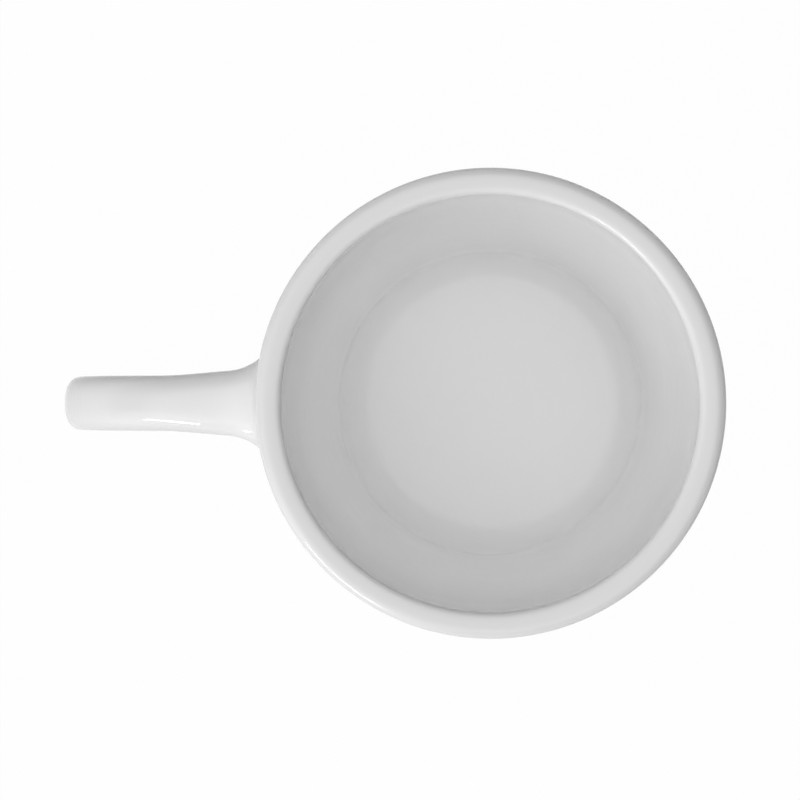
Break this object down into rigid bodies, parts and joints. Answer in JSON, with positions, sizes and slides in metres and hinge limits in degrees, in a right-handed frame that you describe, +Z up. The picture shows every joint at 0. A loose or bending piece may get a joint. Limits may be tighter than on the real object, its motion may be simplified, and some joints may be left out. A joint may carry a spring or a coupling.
{
  "type": "coffee mug",
  "caption": "Tapered white glazed porcelain mug with a rounded lip, a recessed foot ring and an ear handle luted to its wall, for holding a hot drink.",
  "frame": {"origin": "on the table in the mug's plane of symmetry, half way between the back of the handle and the far side of the rim, so the axis of the cup stands at x = +19.25 mm", "axes": "+Z up out of the cup's mouth, -X towards the handle, Y across the mug"},
  "size_m": [0.1225, 0.084, 0.092],
  "materials": {
    "body_glaze": "clear gloss glaze over white porcelain, bare at the foot ring",
    "handle_glaze": "clear gloss glaze over white porcelain"
  },
  "bodies": {
    "root": {"mug_body": "body_glaze", "handle": "handle_glaze"}
  },
  "joints": []
}
